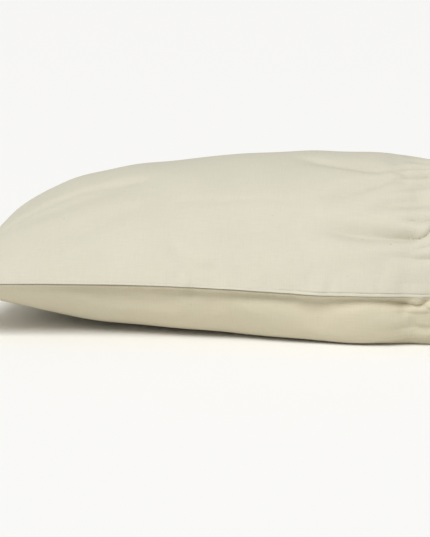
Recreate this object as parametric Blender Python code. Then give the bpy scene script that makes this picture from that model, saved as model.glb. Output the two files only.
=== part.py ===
"""Drawstring bag of unbleached cotton, lying filled on its side with its mouth loosely drawn.

Two panels of cloth are sewn together along both sides and the closed end. Each is turned in at the
mouth to make a casing, and one cord runs round the mouth in it and comes out at the front side seam.
Units are metres. +X runs from the closed end to the mouth, -Y is the front side seam, +Z is up, and
the bag's underside rests on Z = 0.
"""

from collections import namedtuple

import bmesh
import bpy
import numpy as np

# The cloth
LENGTH = 0.438            # closed end to mouth edge, as the filled bag lies
CLOTH = 0.0012            # thickness of the sheet
SEAM_GAP = 0.0003         # between the two panels, where they are sewn edge to edge
PANEL_WIDTH = 0.300       # between the side seams of the flat bag
END_DIP = 0.012           # how far the middle of the closed end is drawn in between its corners
END_DIP_REACH = 0.070     # how far along the bag that fades
FLOOR_BLEND = 0.014       # height over which the underside eases into the floor

# The drawn mouth
STITCH_LINE = 0.416       # where the casing is stitched down, from the closed end
PLEATS = 16               # pleats round each panel
PLEAT_DEPTH = 0.0017      # half the height of a pleat at the casing
PLEAT_REACH = 0.046       # how far the longest pleats run down the bag
RETURN_PLEATS = 0.4       # how much of a pleat is left in the turned-in part of the hem
RETURN_GAP = 0.0010       # between the two layers of the hem where they lie on the floor
SLIT = 0.031              # share of a panel's girth left open at the front, where the cord leaves
BACK_GAP = 0.005          # the same at the back seam
CASING_START = 0.418      # where the slit begins, measured along the cloth

# The cord
CORD = 0.004              # diameter
CORD_ALONG = 0.427        # its place in the casing, from the closed end
CORD_INSET = 0.0054       # its centre, in from the casing's face
CORD_BEND = 0.008         # radius at which each strand turns out through the slit
STUB = 0.001              # straight stretch after that turn, where the free end takes over
STRAND_APART = 0.0025     # each strand's height over or under the front seam as it comes out
LOOP_POINTS = 27          # points along the cord in each panel's casing
TOUCH = 0.0003            # gap kept between pieces of cord that meet face to face
KNOT = (0.0052, 0.0046, 0.0044)    # half sizes of a knot: along the cord, across it and upward

# How finely the surfaces are divided
BODY_COLUMNS = 32
MOUTH_COLUMNS = 64
NUDGE = 0.0002            # step used to find the cloth's direction at a point

Section = namedtuple("Section", "along top front_seam back_seam under half_width middle upper_power lower_power")
SECTIONS = [
    # One row for each station from the closed end. top and the seams are heights over the floor, under is
    # how far the belly would hang below the seams if no floor flattened it, middle is the y of the bag's
    # centre line, and a power of 1 gives a round side, 2 a lens with a sharp edge.
    Section(0.000, 0.05625, 0.049, 0.0635, 0.000, 0.143, 0.000, 2.0, 1.6),
    Section(0.030, 0.0875, 0.050, 0.069, 0.032, 0.139, 0.000, 1.7, 1.5),
    Section(0.070, 0.1095, 0.051, 0.072, 0.049, 0.132, 0.000, 1.35, 1.45),
    Section(0.120, 0.1245, 0.051, 0.076, 0.062, 0.123, 0.000, 1.15, 1.35),
    Section(0.180, 0.1335, 0.051, 0.079, 0.0735, 0.118, 0.000, 1.1, 1.25),
    Section(0.250, 0.141, 0.050, 0.080, 0.082, 0.115, -0.001, 1.0, 1.2),
    Section(0.320, 0.145, 0.0475, 0.079, 0.096, 0.112, -0.002, 1.0, 1.1),
    Section(0.378, 0.145, 0.0468, 0.076, 0.097, 0.103, -0.007, 1.0, 1.0),
    Section(0.416, 0.142, 0.0455, 0.074, 0.090, 0.089, -0.012, 1.0, 1.0),
    Section(0.438, 0.141, 0.0450, 0.074, 0.088, 0.087, -0.012, 1.0, 1.0),
]

Turn = namedtuple("Turn", "run along inset")
HEM = [
    # The cloth's path at the mouth, where it turns in to make the casing: run is measured along the cloth,
    # along is from the closed end and inset is in from the bag's face.
    Turn(0.388, 0.388, 0.0000),
    Turn(0.408, 0.408, 0.0006),
    Turn(0.416, 0.416, 0.0018),
    Turn(0.421, 0.421, 0.0006),
    Turn(0.428, 0.428, 0.0000),
    Turn(0.434, 0.434, 0.0012),
    Turn(0.438, 0.4366, 0.0036),
    Turn(0.441, 0.4366, 0.0058),
    Turn(0.445, 0.434, 0.0080),
    Turn(0.451, 0.428, 0.0092),
    Turn(0.458, 0.421, 0.0072),
    Turn(0.464, 0.416, 0.0026),
]
BODY_RUNS = [0.0, 0.010, 0.023, 0.040, 0.060, 0.084, 0.112, 0.143, 0.176, 0.210, 0.245, 0.280, 0.314, 0.344, 0.367]
MOUTH_RUNS = [0.383, 0.395, 0.405, 0.412, 0.416, 0.421, 0.428, 0.434, 0.438, 0.441, 0.445, 0.451, 0.458, 0.464]

Fold = namedtuple("Fold", "run across run_end across_end width depth")
UPPER_FOLDS = [
    # Soft troughs in the upper panel, each from one point of the flat cloth to another. across is measured
    # from the middle of the panel, with the front seam at -0.150.
    Fold(0.225, -0.104, 0.360, -0.087, 0.016, 0.0035),
    Fold(0.325, -0.087, 0.432, -0.090, 0.009, 0.0055),
    Fold(0.362, -0.074, 0.430, -0.046, 0.008, 0.0032),
    Fold(0.322, -0.068, 0.388, -0.032, 0.009, 0.0026),
    Fold(0.285, 0.006, 0.396, -0.024, 0.011, 0.0026),
    Fold(0.380, -0.019, 0.432, -0.016, 0.006, 0.0026),
    Fold(0.328, -0.130, 0.404, -0.125, 0.009, 0.0026),
    Fold(0.105, -0.136, 0.186, -0.066, 0.014, 0.0028),
    Fold(0.045, -0.092, 0.156, 0.000, 0.014, 0.0022),
]
LOWER_FOLDS = [
    # The same in the lower panel, whose flat part on the floor has none.
    Fold(0.392, -0.131, 0.432, -0.122, 0.007, 0.0030),
    Fold(0.120, -0.138, 0.215, -0.132, 0.010, 0.0022),
]

UPPER_END = [
    # The strand that leaves over the seam drops to the floor and lies round in front of the mouth.
    (0.2080, -0.1068, 0.0478),
    (0.2096, -0.1106, 0.0468),
    (0.2120, -0.1134, 0.0445),
    (0.2146, -0.1152, 0.0407),
    (0.2166, -0.1168, 0.0359),
    (0.2180, -0.1184, 0.0304),
    (0.2192, -0.1199, 0.0244),
    (0.2204, -0.1213, 0.0186),
    (0.2220, -0.1227, 0.0130),
    (0.2244, -0.1239, 0.0081),
    (0.2280, -0.1246, 0.0045),
    (0.2326, -0.1246, 0.0025),
    (0.2376, -0.1236, 0.0021),
    (0.2424, -0.1215, 0.0021),
    (0.2466, -0.1183, 0.0021),
    (0.2500, -0.1142, 0.0021),
    (0.2524, -0.1094, 0.0021),
    (0.2538, -0.1041, 0.0021),
    (0.2543, -0.0986, 0.0021),
    (0.2540, -0.0931, 0.0021),
    (0.2530, -0.0876, 0.0021),
    (0.2516, -0.0822, 0.0021),
]
LOWER_END = [
    # The strand that leaves under the seam lies further out.
    (0.2080, -0.1067, 0.0428),
    (0.2082, -0.1108, 0.0409),
    (0.2086, -0.1142, 0.0373),
    (0.2090, -0.1170, 0.0330),
    (0.2095, -0.1195, 0.0280),
    (0.2102, -0.1219, 0.0226),
    (0.2112, -0.1244, 0.0171),
    (0.2127, -0.1271, 0.0119),
    (0.2150, -0.1299, 0.0075),
    (0.2184, -0.1326, 0.0042),
    (0.2228, -0.1348, 0.0025),
    (0.2278, -0.1363, 0.0021),
    (0.2332, -0.1371, 0.0021),
    (0.2388, -0.1372, 0.0021),
    (0.2444, -0.1366, 0.0021),
    (0.2498, -0.1353, 0.0021),
    (0.2550, -0.1332, 0.0021),
    (0.2598, -0.1302, 0.0021),
    (0.2640, -0.1263, 0.0021),
]
KNOT_HEIGHT = 0.0050      # a knot's centre over the floor

COTTON = (0.72, 0.69, 0.55)
CORD_COTTON = (0.78, 0.75, 0.64)


def smooth(stations, values, at):
    """Values read off a smooth curve through the stations."""
    x = np.asarray(stations, float)
    y = np.asarray(values, float)
    at = np.clip(at, x[0], x[-1])
    slopes = np.gradient(y, x)
    k = np.clip(np.searchsorted(x, at, side="right") - 1, 0, len(x) - 2)
    step = x[k + 1] - x[k]
    t = (at - x[k]) / step
    return (
        (2 * t**3 - 3 * t**2 + 1) * y[k]
        + (t**3 - 2 * t**2 + t) * step * slopes[k]
        + (3 * t**2 - 2 * t**3) * y[k + 1]
        + (t**3 - t**2) * step * slopes[k + 1]
    )


def ramp(t):
    """0 to 1 with a soft start and end."""
    t = np.clip(t, 0.0, 1.0)
    return t * t * (3 - 2 * t)


def on_floor(z):
    """Heights of the cloth's inner face, eased to where its outer face lies on the floor."""
    over = z - CLOTH
    soft = (over + FLOOR_BLEND) ** 2 / (4 * FLOOR_BLEND)
    return CLOTH + np.where(over > FLOOR_BLEND, over, np.where(over < -FLOOR_BLEND, 0.0, soft))


def column(name, along):
    """One named column of the section table, at each place along the bag."""
    stations = [s.along for s in SECTIONS]
    return smooth(stations, [getattr(s, name) for s in SECTIONS], along)


def girth(upper, along, share):
    """Points (y, z) and outward directions at a share of a panel's girth, 0 at the front seam."""
    along = np.atleast_1d(along)
    share = np.broadcast_to(share, (len(along), np.shape(share)[-1]))
    turn = np.linspace(0.0, np.pi, 241)
    at = {name: column(name, along)[:, None] for name in Section._fields[1:]}
    seam = at["front_seam"] + (at["back_seam"] - at["front_seam"]) * (1 - np.cos(turn)) / 2
    y = at["middle"] - at["half_width"] * np.cos(turn)
    if upper:
        rise = at["top"] - (at["front_seam"] + at["back_seam"]) / 2
        z = seam + SEAM_GAP / 2 + rise * np.sin(turn) ** at["upper_power"]
    else:
        z = on_floor(seam - SEAM_GAP / 2 - at["under"] * np.sin(turn) ** at["lower_power"])
    lengths = np.hypot(np.diff(y, axis=1), np.diff(z, axis=1))
    run = np.concatenate([np.zeros((len(along), 1)), np.cumsum(lengths, axis=1)], axis=1)
    points = np.empty((*share.shape, 2))
    facing = np.empty((*share.shape, 2))
    for i in range(len(along)):
        tangent = np.stack([np.gradient(y[i]), np.gradient(z[i])], axis=1)
        tangent /= np.linalg.norm(tangent, axis=1)[:, None]
        outward = np.stack([-tangent[:, 1], tangent[:, 0]], axis=1) * (1 if upper else -1)
        want = share[i] * run[i, -1]
        for k, line in enumerate((y[i], z[i])):
            points[i, :, k] = np.interp(want, run[i], line)
            facing[i, :, k] = np.interp(want, run[i], outward[:, k])
    return points, facing / np.linalg.norm(facing, axis=2)[:, :, None]


def fold_depth(folds, run, share):
    """How far soft folds push the cloth out, from the distance to each fold's line on the flat cloth."""
    across = (share - 0.5) * PANEL_WIDTH
    total = np.zeros(np.broadcast(run, share).shape)
    for f in folds:
        line = np.array([f.run_end - f.run, f.across_end - f.across])
        long = np.hypot(*line)
        t = ((run - f.run) * line[0] + (across - f.across) * line[1]) / long**2
        aside = ((run - f.run) * line[1] - (across - f.across) * line[0]) / long
        ends = ramp(t / 0.35) * ramp((1 - t) / 0.35)
        total -= f.depth * np.exp(-((aside / f.width) ** 2)) * ends
    return total


def pleats(run, share, phase):
    """The gathers at the mouth: they start down the bag at uneven places and deepen to the casing."""
    reach = PLEAT_REACH * (0.72 + 0.28 * np.sin(2 * np.pi * (3 * share + phase)))
    size = ramp((run - STITCH_LINE + reach) / reach) * PLEAT_DEPTH
    uneven = 1 + 0.3 * np.sin(2 * np.pi * (5 * share + 2 * phase))
    wander = share + 0.010 * np.sin(2 * np.pi * (4 * share + phase))
    edges = ramp(share / 0.03) * ramp((1 - share) / 0.03)
    return size * uneven * edges * np.sin(2 * np.pi * PLEATS * wander)


def place(upper, run, share):
    """Points of a panel's inner face, for each run along the cloth and each share of its girth."""
    run = np.atleast_1d(run)
    along = np.where(run < HEM[0].run, run, smooth([t.run for t in HEM], [t.along for t in HEM], run))
    inset = smooth([t.run for t in HEM], [t.inset for t in HEM], run)
    points, facing = girth(upper, along, share)
    folds = fold_depth(UPPER_FOLDS if upper else LOWER_FOLDS, run[:, None], share)
    turned_in = ramp((inset - HEM[-1].inset) / 0.004)
    gathers = pleats(run[:, None], share, 0.1 if upper else 0.6) * (1 - (1 - RETURN_PLEATS) * turned_in)[:, None]
    shift = folds + gathers - inset[:, None]
    y, z = np.moveaxis(points + facing * shift[:, :, None], 2, 0)
    across = (points[:, :, 0] - column("middle", along)[:, None]) / column("half_width", along)[:, None]
    x = along[:, None] - LENGTH / 2 + END_DIP * np.exp(-along / END_DIP_REACH)[:, None] * (1 - across**2)
    lowest = CLOTH + RETURN_GAP * ramp((run - LENGTH) / 0.010)
    return np.stack([x, y, np.maximum(z, lowest[:, None])], axis=2)


def facing_out(upper, run, share):
    """The direction that the cloth's outer face looks, at the same places."""
    run = np.atleast_1d(run)
    by_run = place(upper, run + NUDGE, share) - place(upper, run - NUDGE, share)
    by_share = place(upper, run, np.clip(share + NUDGE, 0, 1)) - place(upper, run, np.clip(share - NUDGE, 0, 1))
    out = np.cross(by_share, by_run) * (-1 if upper else 1)
    return out / np.linalg.norm(out, axis=2)[:, :, None]


def panel_faces(upper):
    """Rows of points of a panel's inner and outer faces, from the closed end to the hem's edge."""
    body = np.linspace(0, 1, BODY_COLUMNS + 1)
    mouth = np.linspace(0, 1, MOUTH_COLUMNS + 1)
    casing = np.interp(mouth, [0, 2 * SLIT, 1 - SLIT, 1], [SLIT, 2 * SLIT, 1 - SLIT, 1 - BACK_GAP])
    before = [run for run in MOUTH_RUNS if run < CASING_START]
    after = [run for run in MOUTH_RUNS if run > CASING_START]
    inner = []
    outer = []
    for runs, shares in ((BODY_RUNS, body), (before, mouth), (after, casing)):
        points = place(upper, np.array(runs), shares)
        inner.extend(points)
        outer.extend(points + facing_out(upper, np.array(runs), shares) * CLOTH)
    return inner, outer


def row_faces(rows, start):
    """Faces between rows of points. Where a row has twice as many columns as the last, each one splits."""
    faces = []
    for near, far in zip(rows, rows[1:]):
        a = start
        b = start + len(near)
        for j in range(len(near) - 1):
            if len(near) == len(far):
                faces.append((a + j, b + j, b + j + 1, a + j + 1))
            else:
                faces.append((a + j, b + 2 * j, b + 2 * j + 1))
                faces.append((a + j, b + 2 * j + 1, a + j + 1))
                faces.append((a + j + 1, b + 2 * j + 1, b + 2 * j + 2))
        start = b
    return faces


def rim(rows):
    """The numbers of the points round the edge of the rows, in order."""
    starts = np.cumsum([0] + [len(row) for row in rows])
    ends = [int(s) - 1 for s in starts[1:]]
    starts = [int(s) for s in starts[:-1]]
    return list(range(starts[0], ends[0])) + ends[:-1] + list(range(ends[-1], starts[-1], -1)) + starts[:0:-1]


def finish(obj, colour, roughness):
    """The object's own material, smooth shading and its place under the bag."""
    material = bpy.data.materials.new(obj.name + "_finish")
    material.use_nodes = True
    shader = material.node_tree.nodes["Principled BSDF"]
    shader.inputs["Base Color"].default_value = (*colour, 1.0)
    shader.inputs["Roughness"].default_value = roughness
    shader.inputs["Metallic"].default_value = 0.0
    obj.data.materials.append(material)
    obj.parent = bag


def panel(name, upper):
    """One panel of cloth as a closed shell, its hem included."""
    inner, outer = panel_faces(upper)
    count = sum(len(row) for row in inner)
    faces = row_faces(outer, 0)
    faces += [face[::-1] for face in row_faces(inner, count)]
    edge = rim(outer)
    for a, b in zip(edge, edge[1:] + edge[:1]):
        faces.append((a, b, b + count, a + count))
    if not upper:
        faces = [face[::-1] for face in faces]
    mesh = bpy.data.meshes.new(name)
    mesh.from_pydata(np.concatenate(outer + inner).tolist(), [], faces)
    mesh.shade_smooth()
    obj = bpy.data.objects.new(name, mesh)
    bpy.context.collection.objects.link(obj)
    finish(obj, COTTON, 0.9)
    return obj


def cord(name, points):
    """A plain length of cord through the points."""
    curve = bpy.data.curves.new(name, "CURVE")
    curve.dimensions = "3D"
    curve.bevel_depth = CORD / 2
    curve.bevel_resolution = 2
    curve.use_fill_caps = True
    spline = curve.splines.new("POLY")
    spline.points.add(len(points) - 1)
    for spot, point in zip(spline.points, points):
        spot.co = (*point, 1.0)
    spline.use_smooth = True
    obj = bpy.data.objects.new(name, curve)
    bpy.context.collection.objects.link(obj)
    finish(obj, CORD_COTTON, 0.85)
    return obj


def in_casing(upper, shares):
    """The cord's centre in a panel's casing."""
    points, facing = girth(upper, CORD_ALONG, shares)
    return [(CORD_ALONG - LENGTH / 2, *point) for point in (points - facing * CORD_INSET)[0].tolist()]


def turn_out(side):
    """A strand's quarter turn from the slit into the casing, over (1) or under (-1) the front seam."""
    x, y, z = in_casing(True, np.array([0.0]))[0]
    z += side * (STRAND_APART + CORD_BEND)
    angles = np.radians([-90, -60, -30, 0])
    turn = [(x, y - CORD_BEND + CORD_BEND * np.cos(a), z + side * CORD_BEND * np.sin(a)) for a in angles]
    return [(x, turn[0][1] - STUB, turn[0][2])] + turn


def loop_route():
    """The cord from one side of the slit, round the mouth in the casing and back to the other side."""
    shares = np.linspace(0.048, 1.0, LOOP_POINTS)
    over = in_casing(True, shares)
    under = in_casing(False, shares[:-1])
    return turn_out(1) + over + under[::-1] + turn_out(-1)[::-1]


def knot(name, end, before):
    """A stopper knot just past the end of a strand, as a rounded lump with the cord's turns in relief."""
    heading = np.array(end) - np.array(before)
    heading /= np.linalg.norm(heading)
    mesh = bmesh.new()
    bmesh.ops.create_uvsphere(mesh, u_segments=18, v_segments=12, radius=1.0)
    for vertex in mesh.verts:
        x, y, z = vertex.co
        turns = 1 + 0.09 * np.cos(3 * np.arctan2(z, y) + 2.2 * x) * np.hypot(y, z)
        vertex.co = (x * KNOT[0], y * KNOT[1] * turns, z * KNOT[2] * turns)
    data = bpy.data.meshes.new(name)
    mesh.to_mesh(data)
    mesh.free()
    data.shade_smooth()
    obj = bpy.data.objects.new(name, data)
    bpy.context.collection.objects.link(obj)
    centre = np.array(end) + heading * (KNOT[0] + TOUCH)
    obj.location = (centre[0], centre[1], KNOT_HEIGHT)
    obj.rotation_euler = (0.0, 0.0, np.arctan2(heading[1], heading[0]))
    finish(obj, CORD_COTTON, 0.85)
    return obj


for old in list(bpy.data.objects):
    bpy.data.objects.remove(old)
bag = bpy.data.objects.new("drawstring_bag", None)
bpy.context.collection.objects.link(bag)
panel("panel_upper", True)
panel("panel_lower", False)
cord("drawstring_loop", loop_route())
for name, side, route in (("upper", 1, UPPER_END), ("lower", -1, LOWER_END)):
    x, y, z = turn_out(side)[0]
    points = [(x, y - TOUCH, z)] + route
    cord("cord_end_" + name, points)
    knot("knot_" + name, points[-1], points[-2])
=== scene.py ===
"""Looks of the drawstring bag: two sewn panels of unbleached cotton, their casing and the cord in it.

The shape is worked out as in the part's source, on a finer grid: a table of cross-sections, the cloth's
path round the hem, soft folds laid on the flat cloth, and the gathers at the mouth. Units are metres.
"""

from collections import namedtuple

import bpy
import numpy as np
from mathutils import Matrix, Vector


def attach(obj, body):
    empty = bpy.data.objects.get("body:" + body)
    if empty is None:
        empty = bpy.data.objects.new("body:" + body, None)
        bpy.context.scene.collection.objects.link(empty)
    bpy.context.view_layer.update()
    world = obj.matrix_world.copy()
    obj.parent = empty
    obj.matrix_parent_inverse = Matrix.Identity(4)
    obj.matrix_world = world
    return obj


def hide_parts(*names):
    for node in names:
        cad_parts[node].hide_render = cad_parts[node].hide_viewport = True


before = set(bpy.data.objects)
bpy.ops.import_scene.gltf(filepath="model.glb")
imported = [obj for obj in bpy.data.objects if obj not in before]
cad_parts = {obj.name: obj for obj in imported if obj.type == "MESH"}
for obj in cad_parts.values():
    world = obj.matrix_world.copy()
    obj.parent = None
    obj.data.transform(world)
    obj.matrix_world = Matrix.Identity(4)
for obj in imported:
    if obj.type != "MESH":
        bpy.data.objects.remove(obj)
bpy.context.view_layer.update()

# The cloth
LENGTH = 0.438            # closed end to mouth edge, as the filled bag lies
CLOTH = 0.0012            # thickness of the sheet in the solids
SHEET = 0.0007            # thickness shown
SEAM_GAP = 0.0003         # between the two panels along the seams
PANEL_WIDTH = 0.300       # between the side seams of the flat bag
ALLOWANCE = [0.0085, 0.0055, 0.0030, 0.0013]    # widths at which the seam's turned-in edge is drawn
END_DIP = 0.012           # how far the closed end's middle is drawn in
END_DIP_REACH = 0.070     # how far along the bag that fades
FLOOR_BLEND = 0.014       # height over which the underside eases into the floor
FLARE = 0.0042            # how far the side seams stand out
SUNK = 0.0012             # how far the upper panel has sunk in its middle
UNEVEN = 0.0005           # slight unevenness all over the cloth
STRETCHED = 0.0002        # how much less of it the upper panel's stretched middle has

# The drawn mouth
STITCH_LINE = 0.416       # where the casing is stitched down, from the closed end
PLEATS = 16               # main pleats round each panel
PLEAT_DEPTH = 0.0017      # half the height of a pleat at the casing
PLEAT_REACH = 0.046       # how far the longest pleats run down the bag
RETURN_PLEATS = 0.4       # how much of a pleat is left in the turned-in part of the hem
RETURN_GAP = 0.0010       # between the two layers of the hem where they lie on the floor
SLIT = 0.031              # share of a panel's girth left open at the front, where the cord leaves
BACK_GAP = 0.005          # the same at the back, in the hem's turned-in part
CASING_START = 0.418      # where the cloth simulation stops joining the panels
DRAWN_BACK = 0.004        # how far the casing's stitch line is drawn back all round
DRAWN_SLIT = 0.012        # and how much further beside the slit
DRAWN_REACH = 0.115       # how far round from the slit that fades

# The cord
CORD = 0.004              # diameter
CORD_ALONG = 0.427        # its place in the casing, from the closed end
CORD_INSET = 0.0054       # its centre, in from the casing's face
CORD_BEND = 0.008         # radius at which each strand turns out through the slit
STUB = 0.001              # straight stretch after that turn, where the free end takes over
STRAND_APART = 0.0025     # each strand's height over or under the front seam as it comes out
LOOP_START = 0.048        # share of the girth at which it comes out of its turn
LOOP_POINTS = 27          # points along the cord in each panel's casing
TOUCH = 0.0003            # gap kept between pieces of cord that meet face to face
KNOT_CORD = 0.0034        # the cord is pulled thinner in its knots
KNOT_HEIGHT = 0.0050      # a knot's middle over the floor
KNOT_AHEAD = 0.0054       # and past the free end's last point

# The sewing
RIDGE_AT = 0.0007         # from a side seam to the top of its rolled ridge
PUCKER = 0.00022          # depth of the small puckers beside the seams
PUCKER_REACH = 0.013      # how far from a seam they fade
STITCH_PITCH = 0.0030     # from one stitch to the next
THREAD = 0.00020          # the thread's radius as it lies in the cloth
SEAM_STITCH = 0.0019      # from a side seam to its row of stitches, in their groove

# The camera, at the photograph's angle
AIM = (0.022, -0.110, 0.065)    # the point in the middle of the view
AZIMUTH = 9.0             # degrees round from the front, towards the mouth
ELEVATION = 12.0
DISTANCE = 1.4
LENS = 112.0              # millimetres
SENSOR = 36.0             # the sensor's height, in millimetres

# The light
SURROUND = 0.46           # strength of the even white surround
KEY_STRENGTH = 2.35       # of the one large light
KEY_WIDTH = 28.0          # degrees across, which makes its shadows soft
KEY_FROM = (-0.20, -0.60, 0.77)

# The colours, at both ends of each uneven tint, and the weave. The lower panel is the same cloth as the
# upper, given a warmer, more saturated tint as painted warm shade on the underside.
Tint = namedtuple("Tint", "cool warm")
UPPER_TINT = Tint((0.624, 0.600, 0.488, 1.0), (0.633, 0.600, 0.491, 1.0))
# Painted warm shade: the underside's tint is warmer and more saturated than the upper panel's.
LOWER_WARM_SHADE_TINT = Tint((0.642, 0.594, 0.444, 1.0), (0.650, 0.590, 0.444, 1.0))
YARN_PITCH = 0.00050      # from one yarn of the weave to the next
CORD_TINT = Tint((0.58, 0.56, 0.46, 1.0), (0.74, 0.72, 0.62, 1.0))
THREAD_TINT = Tint((0.60, 0.58, 0.47, 1.0), (0.74, 0.72, 0.61, 1.0))
FLOOR_COLOUR = (0.93, 0.925, 0.91, 1.0)

# The sheets and how finely they are divided
EDGE_APART = 0.00005      # each turned-in edge over or under the middle of the seam
PATTERN_PLACE = {True: 0.2, False: 0.6}    # where each panel lies across the woven pattern
COLUMNS = 220             # across each panel
NUDGE = 0.0002            # step used to find the cloth's direction at a point

# The cloth simulation that eases the sheets into small puckers
EASE_RUNS = np.linspace(0.0, 0.430, 121)
EASE_SHARES = np.linspace(0.0, 1.0, 85)
EASE_FRAMES = 26
EASE_LONGER = 0.004       # how much longer the cloth is than its place
HOLD_BODY = 0.15          # how firmly the cloth is held to its place over the body
HOLD_SEAM = 0.08          # and beside the seams
SEAM_REACH = 0.030        # how far from the seams it is loose
CASING_REACH = 0.035      # and from the casing
CASING_SHARE = 0.9        # how loose it is beside the casing, where beside the seams is 1
EASE_CAP = 0.006          # the furthest that a point may move
EASE_KEEP = 0.045         # how far from the seams and the casing the moves fade
EASE_LEFT = 0.06          # the share of them left in the middle of the cloth
CLOTH_SETTINGS = {
    "quality": 5,
    "mass": 0.1,
    "air_damping": 2.0,
    "tension_stiffness": 15.0,
    "compression_stiffness": 15.0,
    "shear_stiffness": 8.0,
    "bending_stiffness": 4.0,
    "vertex_group_mass": "hold",
    "pin_stiffness": 1.0,
    "shrink_min": -EASE_LONGER,
    "shrink_max": -EASE_LONGER,
}

# Places where something begins to change, and the distance over which it does
Span = namedtuple("Span", "start reach")
DRAWN_FADES = Span(0.395, 0.039)      # the drawing back ends before the mouth's edge
RETURN_FOLLOWS = Span(0.444, 0.020)   # the hem's turned-in edge is drawn back too
FLOOR_LAYERS = Span(LENGTH, 0.010)    # the turned-in part comes to lie on the lower panel
SLIT_OPENS = Span(0.4228, 0.0015)     # the panels part at the front
BACK_OPENS = Span(LENGTH, 0.003)      # and at the back
NEAR_MOUTH = Span(0.27, 0.08)         # the seam's ridge and groove grow sharper
TUCK_DEEPENS = Span(0.07, 0.07)       # the tuck under the seams
TUCK_ENDS = Span(0.396, 0.012)
FLARE_BEGINS = Span(0.02, 0.12)       # the seams' standing out
FLARE_EASES = Span(0.33, 0.06)
FLARE_ENDS = Span(0.408, 0.016)
UPPER_QUIET = Span(0.04, 0.08)        # the pleats are weaker beside the front seam: shares of the girth
LOWER_QUIET = Span(0.12, 0.08)

Section = namedtuple(
    "Section", "along top front_seam back_seam under half_width middle upper_power lower_power"
)
SECTIONS = [
    # One row for each station from the closed end. top and the seams are heights over the floor, under
    # is how far the belly would hang below the seams without the floor, middle is the y of the centre
    # line, and a power of 1 gives a round side, 2 a lens with a sharp edge.
    Section(0.000, 0.05625, 0.049, 0.0635, 0.000, 0.143, 0.000, 2.0, 1.6),
    Section(0.030, 0.0875, 0.050, 0.069, 0.032, 0.139, 0.000, 1.7, 1.5),
    Section(0.070, 0.1095, 0.051, 0.072, 0.049, 0.132, 0.000, 1.35, 1.45),
    Section(0.120, 0.1245, 0.051, 0.076, 0.062, 0.123, 0.000, 1.15, 1.35),
    Section(0.180, 0.1335, 0.051, 0.079, 0.0735, 0.118, 0.000, 1.1, 1.25),
    Section(0.250, 0.141, 0.050, 0.080, 0.082, 0.115, -0.001, 1.0, 1.2),
    Section(0.320, 0.145, 0.0475, 0.079, 0.096, 0.112, -0.002, 1.0, 1.1),
    Section(0.378, 0.145, 0.0468, 0.076, 0.097, 0.103, -0.007, 1.0, 1.0),
    Section(0.416, 0.142, 0.0455, 0.074, 0.090, 0.089, -0.012, 1.0, 1.0),
    Section(0.438, 0.141, 0.0450, 0.074, 0.088, 0.087, -0.012, 1.0, 1.0),
]

Turn = namedtuple("Turn", "run along inset")
HEM = [
    # The cloth's path at the mouth, where it turns in to make the casing: run is along the cloth, along
    # is from the closed end and inset is in from the bag's face.
    Turn(0.388, 0.388, 0.0000),
    Turn(0.408, 0.408, 0.0000),
    Turn(0.416, 0.416, 0.0003),
    Turn(0.421, 0.421, -0.0005),
    Turn(0.428, 0.428, -0.0008),
    Turn(0.434, 0.434, 0.0006),
    Turn(0.438, 0.4366, 0.0036),
    Turn(0.441, 0.4366, 0.0058),
    Turn(0.445, 0.434, 0.0080),
    Turn(0.451, 0.428, 0.0092),
    Turn(0.458, 0.421, 0.0072),
    Turn(0.464, 0.416, 0.0026),
]

Fold = namedtuple("Fold", "run across run_end across_end width depth")
UPPER_FOLDS = [
    # Soft troughs in the upper panel, each from one point of the flat cloth to another. across is from
    # the middle of the panel, with the front seam at -0.150.
    Fold(0.225, -0.104, 0.360, -0.087, 0.016, 0.0035),
    Fold(0.316, -0.0925, 0.426, -0.096, 0.010, 0.0056),
    Fold(0.362, -0.074, 0.430, -0.046, 0.008, 0.0032),
    Fold(0.322, -0.068, 0.388, -0.032, 0.009, 0.0026),
    Fold(0.285, 0.006, 0.396, -0.024, 0.011, 0.0026),
    Fold(0.380, -0.019, 0.432, -0.016, 0.006, 0.0026),
    Fold(0.328, -0.130, 0.404, -0.125, 0.009, 0.0012),
    Fold(0.088, -0.122, 0.180, -0.064, 0.013, 0.0024),
    Fold(0.030, -0.085, 0.190, -0.018, 0.012, 0.0024),
    Fold(0.000, 0.107, 0.062, 0.103, 0.024, 0.0026),
    Fold(0.000, 0.062, 0.062, 0.060, 0.028, 0.0018),
]
LOWER_FOLDS = [
    # The same in the lower panel, whose flat part on the floor has none.
    Fold(0.400, -0.131, 0.432, -0.122, 0.007, 0.0018),
    Fold(0.120, -0.138, 0.215, -0.132, 0.010, 0.0022),
]

UPPER_END = [
    # The strand that leaves over the seam drops to the floor and lies round in front of the mouth.
    (0.2080, -0.1068, 0.0478),
    (0.2096, -0.1106, 0.0468),
    (0.2120, -0.1134, 0.0445),
    (0.2146, -0.1152, 0.0407),
    (0.2166, -0.1168, 0.0359),
    (0.2180, -0.1184, 0.0304),
    (0.2192, -0.1199, 0.0244),
    (0.2204, -0.1213, 0.0186),
    (0.2220, -0.1227, 0.0130),
    (0.2244, -0.1239, 0.0081),
    (0.2280, -0.1246, 0.0045),
    (0.2326, -0.1246, 0.0025),
    (0.2376, -0.1236, 0.0021),
    (0.2424, -0.1215, 0.0021),
    (0.2466, -0.1183, 0.0021),
    (0.2500, -0.1142, 0.0021),
    (0.2524, -0.1094, 0.0021),
    (0.2538, -0.1041, 0.0021),
    (0.2543, -0.0986, 0.0021),
    (0.2540, -0.0931, 0.0021),
    (0.2530, -0.0876, 0.0021),
    (0.2516, -0.0822, 0.0021),
]
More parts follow.
